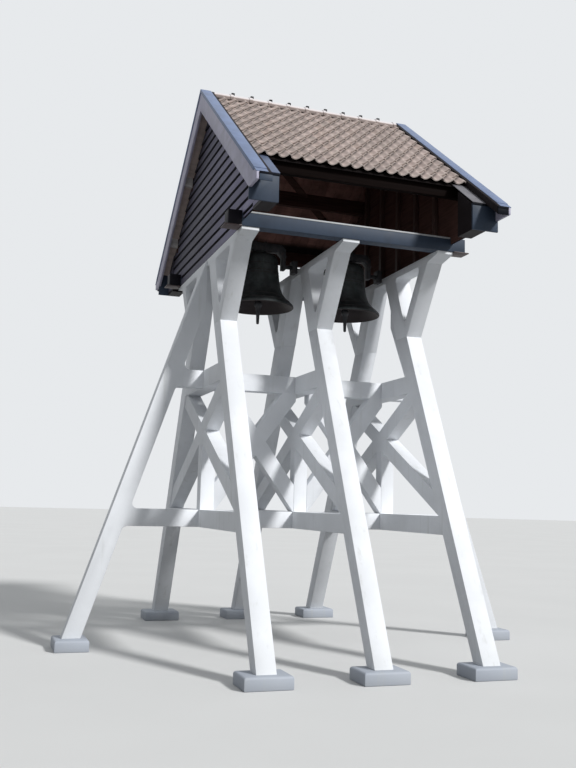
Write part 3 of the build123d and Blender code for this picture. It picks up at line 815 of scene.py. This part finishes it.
class TOWER_OT_verges(Work):
    """Raised verges with folded covers, the low strips, bargeboards, eave boxes and fascias"""
    bl_idname = "tower.verges"
    bl_label = "Verges and eaves"

    def build(self, roof):
        cover = board_paint("verge_cover", roof.cover)
        trim = board_paint("bargeboard_paint", roof.trim)
        eave = board_paint("eave_paint", roof.eave)
        # Painted shade: near black for the verges' inner sides and the eave boxes, which stand in shade
        # under the covers and the roof
        brown = board_paint("verge_side", (0.014, 0.011, 0.012))
        # Painted shade: black for the eave lips, the end boards' top edges and the right end boards, which
        # stand in shade
        black = board_paint("shaded_edge", (0.005, 0.006, 0.010))
        strip_paints = {"left": board_paint("strip_cover_blue", rgb(roof.cover, 0.62)),
                        "right": board_paint("strip_cover_grey", (0.165, 0.16, 0.175))}
        stain = weatherboard_stain(roof.boards, roof.board_pitch)
        for name, side in SIDES:
            for row, sign in ROWS:
                corner = f"{name}_{row}"
                recast("verge_" + corner, "verge_core_" + corner, 0.004, "verge_cover", brown, 1)
                self.cover(corner, side, sign, cover)
                self.strip(corner, side, sign, strip_paints[name], black)
                self.end_board(corner, side, sign, black if side > 0 else eave, black)
            recast("bargeboards_" + name, "bargeboard_pair_" + name, 0.004, "grey_boards", trim)
            recast("eave_boxes_" + name, "eave_box_pair_" + name, 0.003, "grey_boards", brown, 1)
            self.cheeks(name, side, stain)
            recast("fascias_" + name, "fascia_pair_" + name, 0.004, "eave_paint", eave)

    def cheeks(self, name, side, material):
        """Stained outer faces of the eave boxes, which carry the gable's boards down to the eave."""
        node = "eave_boxes_" + name
        proud, skin, foot = 0.003, 0.012, 0.045
        cheek = put(from_node(node, "cheek"), Matrix.Translation((side * proud, 0, 0)))
        cut(cheek, (side * (GABLE_HIGH.x - skin), 0, 0), (-side, 0, 0))
        # The cheek stops above the box's foot, where the near-black box shows as a band of painted shade
        cut(cheek, (0, 0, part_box(node)[0].z + foot), (0, 0, -1))
        settle(soften(cheek, 0.003, 1), "dark_boards", material, name="eave_cheeks_" + name)

    def cover(self, corner, side, sign, material):
        """Folded cover: a top plate with turned-down lips and a separate end flap."""
        across = -side * sign
        inset, overhang, flap, flap_lap = 0.040, 0.010, 0.105, 0.02
        sheet, over_ridge, inner_lip, outer_lip = 0.008, 0.15, 0.014, 0.040
        low, high = sorted((across * (VERGE_LOW.x + inset), across * (BARGE_X + overhang)))
        run = VERGE_HIGH.y / cos(PITCH)
        fold = run - flap
        parts = [block("cover", (low, -fold, -0.004), (high, over_ridge, sheet))]
        for x in (low, high - sheet):
            drop = outer_lip if abs(x) > (VERGE_LOW.x + BARGE_X) / 2 else inner_lip
            parts.append(block("cover", (x, -fold, -drop), (x + sheet, over_ridge, 0.0)))
        parts.append(block("cover", (low + 0.002, -run - 0.006, -0.010),
                           (high - 0.002, -fold + flap_lap, 0.001)))
        for part in parts:
            put(part, on_slope(sign))
            cut(part, (0, 0, 0), (0, -sign, 0))
            soften(part, 0.003)
        settle(join(parts, "verge_cap_" + corner), "verge_cover", material)

    def end_board(self, corner, side, sign, material, edge_material):
        """Upright board that closes the lower end of a raised verge, and the strip along its top."""
        x0, x1 = side * (VERGE_LOW.x - 0.002), side * (BARGE_X - 0.036)
        top = RIDGE_Z - SLOPE * VERGE_HIGH.y
        for part, near, far, low, high, arris, paint in (
                ("end", -0.001, 0.014, 0.112, 0.022, 0.003, material),
                ("end_edge", 0.002, 0.018, 0.036, 0.006, 0.002, edge_material)):
            board = block(part, (x0, sign * (VERGE_HIGH.y + near), top - low),
                          (x1, sign * (VERGE_HIGH.y + far), top - high))
            settle(soften(board, arris), "grey_boards", paint, name=f"verge_{part}_{corner}")

    def strip(self, corner, side, sign, material, edge_material):
        """Cover of the low strip between the tiles and the fascia, and the lip along its eave."""
        across = -side * sign
        inner, sheet_thick, lip_thick = STRIP_X - 0.006, 0.009, 0.008
        under_tiles, overhang, lip_depth = 0.12, 0.010, 0.034
        top = -TILE_DROP * cos(PITCH)
        lag = TILE_DROP * sin(PITCH)
        start = (TILE_EDGE_Y - under_tiles) / cos(PITCH) + lag
        end = (BOARDS_HIGH.y + overhang) / cos(PITCH) + lag
        sheet = block("strip", (across * inner, -end, top),
                      (across * (TILE_HALF + 0.001), -start, top + sheet_thick))
        put(sheet, on_slope(sign))
        edge = RIDGE_Z - TILE_DROP - SLOPE * BOARDS_HIGH.y
        lip = block("strip", (side * inner, sign * BOARDS_HIGH.y, edge - lip_depth),
                    (side * (VERGE_HIGH.x - 0.001), sign * (BOARDS_HIGH.y + lip_thick), edge - 0.001))
        settle(soften(sheet, 0.002), "verge_cover", material, name="eave_strip_" + corner)
        settle(soften(lip, 0.002), "verge_cover", edge_material, name="eave_lip_" + corner)


class TOWER_OT_gables(Work):
    """Lapped weatherboards on both gables, a black backing behind them as painted shade between their
    laps, and the posts behind them
    """
    bl_idname = "tower.gables"
    bl_label = "Gables"

    def build(self, roof):
        stain = weatherboard_stain(roof.boards, roof.board_pitch)
        shadow = board_backing(rgb(roof.timber, 0.4))
        # Painted shade: the posts' timber is darkened where they stand inside the roof
        timber = board_paint("stud_timber", rgb(roof.timber, 0.25))
        pitch = roof.board_pitch
        shown, thick, tilt, backing_depth = pitch * 0.79, 0.022, 0.09, 0.019
        count = floor((GABLE_HIGH.z - GABLE_LOW.z) / pitch) + 1
        for name, side in SIDES:
            face = side * GABLE_HIGH.x
            parts = []
            for index in range(count):
                z = GABLE_LOW.z + index * pitch
                board = block("board", (face, -GABLE_HIGH.y, z),
                              (face - side * thick, GABLE_HIGH.y, z + shown))
                lean = Matrix.Translation((face, 0, z)) @ Matrix.Rotation(-side * tilt, 4, "Y") \
                    @ Matrix.Translation((-face, 0, -z))
                parts += self.fitted(put(board, lean))
            walls = join([soften(part, 0.004) for part in parts], "weatherboards_" + name)
            # A black sheet behind the boards: painted shade that shows between their laps
            back = block("board_backing", (face - side * backing_depth, -GABLE_HIGH.y, GABLE_LOW.z),
                         (side * GABLE_LOW.x, GABLE_HIGH.y, RIDGE_Z))
            settle(join(self.fitted(back), "board_backing_" + name), "dark_boards", shadow)
            settle(walls, "dark_boards", stain, "gable_" + name)
            recast("gable_posts_" + name, "gable_studs_" + name, 0.004, "timber", timber, 1)

    def fitted(self, board):
        """The board sawn to the roof's slopes, and parted where a sill runs through it."""
        for sign in (-1, 1):
            cut(board, (0, 0, GABLE_HIGH.z - 0.001), (0, sign * sin(PITCH), cos(PITCH)))
        if not board.data.vertices:
            remove(board)
            return []
        if min(vertex.co.z for vertex in board.data.vertices) > SILL_HIGH.z:
            return [board]
        gap, far = 0.002, 9
        inner, outer = SILL_LOW.y - gap, SILL_HIGH.y + gap
        over, outside = SILL_HIGH.z + gap, SILL_LOW.z + 0.10
        kept = []
        for start, end, foot in ((-far, -outer, outside), (-inner, inner, None), (outer, far, outside),
                                 (-outer, -inner, over), (inner, outer, over)):
            piece = twin(board)
            cut(piece, (0, start, 0), (0, -1, 0))
            cut(piece, (0, end, 0), (0, 1, 0))
            if foot and piece.data.vertices:
                cut(piece, (0, 0, foot), (0, 0, -1))
            if piece.data.vertices:
                kept.append(piece)
            else:
                remove(piece)
        remove(board)
        return kept


class TOWER_OT_timbers(Work):
    """Purlins with painted ends, the ridge beam, the sills with their flashing and the wind brace"""
    bl_idname = "tower.timbers"
    bl_label = "Timbers"

    def build(self, roof):
        pale = (0.72, 0.69, 0.67)
        # Painted shade: purlin timber darkened inside the roof, and the front purlins under the eave
        # darkened almost to black
        purlin = end_painted_timber("purlin_timber", rgb(roof.timber, 0.3), pale)
        front_purlin = end_painted_timber("eave_purlin_timber", rgb(roof.timber, 0.02), pale)
        paint = board_paint("sill_paint", roof.eave)
        tar = board_paint("sill_end_tar", (0.010, 0.009, 0.013))
        flashing = board_paint("sill_flashing", (0.42, 0.43, 0.44))
        plate = board_paint("sill_plate", (0.055, 0.036, 0.036))
        for node in ("purlins_front", "purlins_back", "ridge_beam"):
            beams = soften(self.stepped(from_node(node, "sawn_" + node), node), 0.005)
            settle(beams, "timber", front_purlin if "front" in node else purlin, node)
        for row, sign in ROWS:
            self.sill(row, sign, paint, flashing, plate, tar)
        self.brace(purlin)

    def sill(self, row, sign, paint, flashing, plate, tar):
        """Painted sill with flashing along its top, plates under its ends and a black cap of painted shade
        on its left end.
        """
        node = "sill_" + row
        low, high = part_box(node)
        recast(node, "sill_beam_" + row, 0.006, "eave_paint", paint)
        face = low.y if sign < 0 else high.y
        inside, proud, lap, turned_down = GABLE_LOW.x - 0.01, 0.006, 0.022, 0.016
        strip = block("strip", (-inside, face + sign * proud, high.z - turned_down),
                      (inside, face - sign * lap, high.z + proud))
        settle(soften(strip, 0.003), "grey_boards", flashing, name="sill_flashing_" + row)
        start, wider, longer, thick = GABLE_HIGH.x + 0.002, 0.02, 0.05, 0.012
        plates = [soften(block("plate", (side * start, low.y - wider, low.z - thick),
                               (side * (high.x + longer), high.y + wider, low.z + 0.003)), 0.003)
                  for side in (-1, 1)]
        settle(join(plates, "sill_end_plates_" + row), "timber", plate)
        # Painted shade: a black cap over the sill's end outside the left gable, which the gable shades
        coat = 0.004
        cap = block("cap", (low.x - coat, low.y - coat, low.z + 0.001),
                    (-start, high.y + coat, high.z + coat))
        settle(soften(cap, 0.003), "eave_paint", tar, name="sill_end_cap_" + row)

    def stepped(self, beams, node):
        """Outside the gables each beam goes on as a shallow end, splayed up to the bargeboard."""
        face = GABLE_HIGH.x - 0.004
        run = VERGE_HIGH.x - GABLE_HIGH.x
        end_depth, splay = 0.155, 0.030
        open_mesh(beams)
        bpy.ops.mesh.separate(type="LOOSE")
        close_mesh()
        parts = []
        for beam in list(bpy.context.selected_objects):
            top = max(vertex.co.z for vertex in beam.data.vertices)
            for side in (-1, 1):
                end = twin(beam)
                cut(end, (side * face, 0, 0), (-side, 0, 0))
                cut(end, (side * face, 0, top - end_depth), (side * splay, 0, -run))
                parts.append(end)
            for side in (-1, 1):
                cut(beam, (side * face, 0, 0), (side, 0, 0))
            parts.append(beam)
        return join(parts, "sawn_" + node)

    def brace(self, material):
        """Wind brace nailed under the back slope's planks, from left of the ridge to the right eave."""
        start, end = Vector((-1.20, 0.10)), Vector((1.50, 1.98))    # seen from above
        half_width, thick, clearance = 0.055, 0.028, 0.003
        spread = Vector((end.x - start.x, (end.y - start.y) / cos(PITCH)))
        under = -(TILE_DROP + PLANK_THICK) * cos(PITCH) - clearance
        turn = Matrix.Rotation(spread.angle_signed(Vector((1, 0))), 4, "Z")
        base = Matrix.Translation((start.x, start.y, RIDGE_Z - SLOPE * start.y)) \
            @ Matrix.Rotation(-PITCH, 4, "X") @ Matrix.Translation((0, 0, under))
        brace = block("wind_brace", (0, -half_width, -thick), (spread.length, half_width, 0))
        settle(soften(put(brace, base @ turn), 0.004), "timber", material)


class TOWER_OT_bells(Work):
    """Turned bells with moulding wires, their headstocks, gudgeons, bearings and clappers"""
    bl_idname = "tower.bells"
    bl_label = "Bells"
    group = "tower_bells"

    def build(self, bells):
        bronze = bronze_patina(bells.bronze)
        iron = forged_iron(bells.iron)
        for name, _ in SIDES:
            body = "bell_" + name
            low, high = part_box("bell_" + name)
            x = (low.x + high.x) / 2
            bell = self.bell(x, low.z, high.z, (high.x - low.x) / 2, bells.turns)
            settle(bell, "bell_bronze", bronze, "bell_" + name, body=body, name="turned_bell_" + name)
            recast("yoke_" + name, "headstock_" + name, 0.006, "iron", iron, body=body)
            self.straps(name, x, body, iron)
            self.clapper(name, x, iron)
        recast("bearings", "bearing_blocks", 0.006, "iron", iron)

    def bell(self, x, low, top, lip, turns):
        """The founder's profile, outside from the lip up to the crown and back down the inside."""
        height = top - low - 0.060
        outside = [
            (0.985, 0.000), (1.000, 0.010), (1.000, 0.030), (0.992, 0.044), (0.975, 0.058),
            (0.955, 0.072), (0.925, 0.090), (0.908, 0.098), (0.910, 0.104), (0.898, 0.110),
            (0.862, 0.126), (0.810, 0.158), (0.765, 0.188), (0.757, 0.193), (0.760, 0.199),
            (0.748, 0.204), (0.722, 0.227), (0.690, 0.262), (0.650, 0.320), (0.626, 0.365),
            (0.611, 0.405), (0.592, 0.480), (0.576, 0.550), (0.566, 0.600), (0.571, 0.604),
            (0.571, 0.612), (0.563, 0.616), (0.557, 0.650), (0.562, 0.654), (0.562, 0.662),
            (0.554, 0.666), (0.545, 0.720), (0.538, 0.775), (0.543, 0.779), (0.543, 0.786),
            (0.536, 0.790), (0.533, 0.850), (0.528, 0.890), (0.512, 0.930), (0.480, 0.962),
            (0.430, 0.985), (0.360, 1.000),
        ]
        points = [(r * lip, low + h * height) for r, h in outside]
        points += [(0.105, low + height), (0.100, top - 0.006), (0.094, top - 0.001), (0.0, top - 0.001)]
        inner = [(0.0, 0.955), (0.300, 0.953), (0.400, 0.930), (0.455, 0.890), (0.470, 0.840),
                 (0.495, 0.650), (0.530, 0.470), (0.575, 0.340), (0.640, 0.240), (0.700, 0.165),
                 (0.790, 0.105), (0.880, 0.055), (0.950, 0.012), (0.965, 0.000)]
        points += [(r * lip, low + h * height) for r, h in inner]
        points.append(points[0])
        return turned("turned_bell", points, turns, (x, 0, 0))

    def straps(self, name, x, body, material):
        """Iron straps and nuts that hold the bell's crown to its headstock."""
        low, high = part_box("yoke_" + name)
        half_width, thick, top = 0.022, 0.010, high.z + 0.012
        front, back, foot = low.y - thick, high.y + thick, high.z - 0.185
        from_middle, arm, arm_drop = 0.085, 0.40, 0.17
        parts = []
        for middle in (x - from_middle, x + from_middle):
            for y0, y1, z in ((front, low.y, foot), (high.y, back, foot), (front, back, high.z)):
                strap = block("strap", (middle - half_width, y0, z), (middle + half_width, y1, top))
                parts.append(soften(strap, 0.003))
            parts += [nut((middle, y, high.z + thick), (0, 0, 1)) for y in (-0.03, 0.03)]
        parts += [nut((x + sign * arm, y, high.z - arm_drop), (sign, 0, 0))
                  for sign in (-1, 1) for y in (-0.032, 0.032)]
        settle(join(parts, "headstock_straps_" + name), "iron", material, body=body)

    def clapper(self, name, x, material):
        """Forged clapper: eye, tapered shaft, turned ball and flight."""
        node = "clapper_" + name
        low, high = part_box(node)
        pivot = high.z - 0.034
        ball_z, ball_r = pivot - 0.655, 0.062
        facets = 32
        points = [(0.0, low.z), (0.012, low.z + 0.001), (0.021, low.z + 0.012), (0.023, low.z + 0.05),
                  (0.027, ball_z - 0.14), (0.036, ball_z - 0.075)]
        points += [(ball_r * sin(a), ball_z - ball_r * cos(a)) for a in map(radians, range(40, 161, 10))]
        points += [(0.017, ball_z + 0.075), (0.0155, ball_z + 0.25), (0.0185, pivot - 0.07),
                   (0.019, pivot - 0.028), (0.0, pivot - 0.028)]
        eye_points = [(0.0125, -0.019), (0.031, -0.019), (0.034, -0.015), (0.034, 0.015),
                      (0.031, 0.019), (0.0125, 0.019), (0.0125, -0.019)]
        shaft = turned("clapper_shaft", points, facets, (x, 0, 0))
        eye = turned("clapper_eye", eye_points, facets, (x, 0, pivot), (1, 0, 0))
        settle(join([shaft, eye], "forged_clapper_" + name), "iron", material, node, body=node)


class TOWER_OT_stage(Work):
    """Pale floor, soft light and the camera"""
    bl_idname = "tower.stage"
    bl_label = "Stage"
    group = "tower_stage"

    def build(self, stage):
        self.ground(stage.floor)
        self.world(stage.fill)
        self.key_light(stage.key)
        self.camera()
        bpy.context.scene.view_settings.view_transform = "Standard"

    def ground(self, color):
        """Floor disc, shown in its own colour but darker to the light that it throws back."""
        deselect()
        bpy.ops.mesh.primitive_circle_add(vertices=96, radius=160, fill_type="NGON",
                                          location=(0, 0, -0.001))
        disc = bpy.context.object
        disc.name = "stage_floor"
        apply_place()
        paint = Paint("stage_floor")
        pale = paint.mottled(color, paint.noise(0.35, 3.0), 0.3, 0.7, 0.985, 1.01)
        thrown_back = rgb(color, 0.34)
        disc.data.materials.append(paint.dress(paint.blend(paint.backdrop(), thrown_back, pale), 0.9))

    def world(self, fill):
        """Even light from all round, and the pale background that the camera sees."""
        cool_white, pale_grey = (0.93, 0.965, 1.0, 1), (0.80, 0.82, 0.84, 1)
        world = bpy.data.worlds.new("stage_world")
        bpy.context.scene.world = world
        world.use_nodes = True
        tree = world.node_tree
        tree.nodes.clear()
        sky = Nodes(tree)
        light = sky.node("ShaderNodeBackground", Color=cool_white, Strength=fill)
        shown = sky.node("ShaderNodeBackground", Color=pale_grey)
        mix = sky.node("ShaderNodeMixShader", i0=sky.backdrop(), i1=light, i2=shown)
        tree.links.new(mix.socket, tree.nodes.new("ShaderNodeOutputWorld").inputs["Surface"])

    def key_light(self, strength):
        """Soft sun from the front right, aimed at the tower."""
        place, aim, spread = Vector((7.8, -12.4, 13.6)), Vector((0, 0, 3.5)), 8
        bpy.ops.object.light_add(type="SUN", location=place)
        lamp = bpy.context.object
        lamp.name = "key_light"
        lamp.data.energy = strength
        lamp.data.angle = radians(spread)
        lamp.rotation_euler = (aim - place).to_track_quat("-Z", "Y").to_euler()

    def camera(self):
        """Camera at the photograph's place: height of a standing person, in front and to the left."""
        yaw, tilt, roll = 0.3297, 0.1295, 0.0246
        level = Vector((cos(yaw), -sin(yaw), 0))
        ahead = Vector((sin(yaw) * cos(tilt), cos(yaw) * cos(tilt), sin(tilt)))
        over = level.cross(ahead)
        right = level * cos(roll) + over * sin(roll)
        up = over * cos(roll) - level * sin(roll)
        bpy.ops.object.camera_add(location=(-4.555, -12.732, 2.011))
        camera = bpy.context.object
        camera.name = "photo_camera"
        turn = Matrix((right, up, -ahead)).transposed().to_4x4()
        camera.matrix_world = Matrix.Translation(camera.location) @ turn
        camera.data.lens = 42.65
        camera.data.sensor_width = 36
        camera.data.clip_end = 500
        bpy.context.scene.camera = camera


class TOWER_PT_panel(bpy.types.Panel):
    """Lists the pieces of the tower in build order"""
    bl_label = "Bell tower"
    bl_idname = "TOWER_PT_panel"
    bl_space_type = "VIEW_3D"
    bl_region_type = "UI"
    bl_category = "Bell tower"

    def draw(self, context):
        for step in STEPS:
            self.layout.operator(step.bl_idname)
        for group in GROUPS:
            sizes = getattr(context.scene, group)
            for name in sizes.bl_rna.properties.keys():
                if name not in ("rna_type", "name"):
                    self.layout.prop(sizes, name)


STEPS = (TOWER_OT_concrete, TOWER_OT_pantiles, TOWER_OT_ridge, TOWER_OT_planks, TOWER_OT_verges,
         TOWER_OT_gables, TOWER_OT_timbers, TOWER_OT_bells, TOWER_OT_stage)
GROUPS = {"tower_concrete": ConcreteSizes, "tower_roof": RoofSizes,
          "tower_bells": BellSizes, "tower_stage": StageSizes}


def register():
    for group in GROUPS.values():
        bpy.utils.register_class(group)
    for step in STEPS:
        bpy.utils.register_class(step)
    bpy.utils.register_class(TOWER_PT_panel)
    for name, group in GROUPS.items():
        setattr(bpy.types.Scene, name, bpy.props.PointerProperty(type=group))


def unregister():
    for name in GROUPS:
        delattr(bpy.types.Scene, name)
    bpy.utils.unregister_class(TOWER_PT_panel)
    for step in reversed(STEPS):
        bpy.utils.unregister_class(step)
    for group in reversed(GROUPS.values()):
        bpy.utils.unregister_class(group)


def main():
    register()
    for step in STEPS:
        family, name = step.bl_idname.split(".")
        getattr(getattr(bpy.ops, family), name)()


if __name__ == "__main__":
    main()
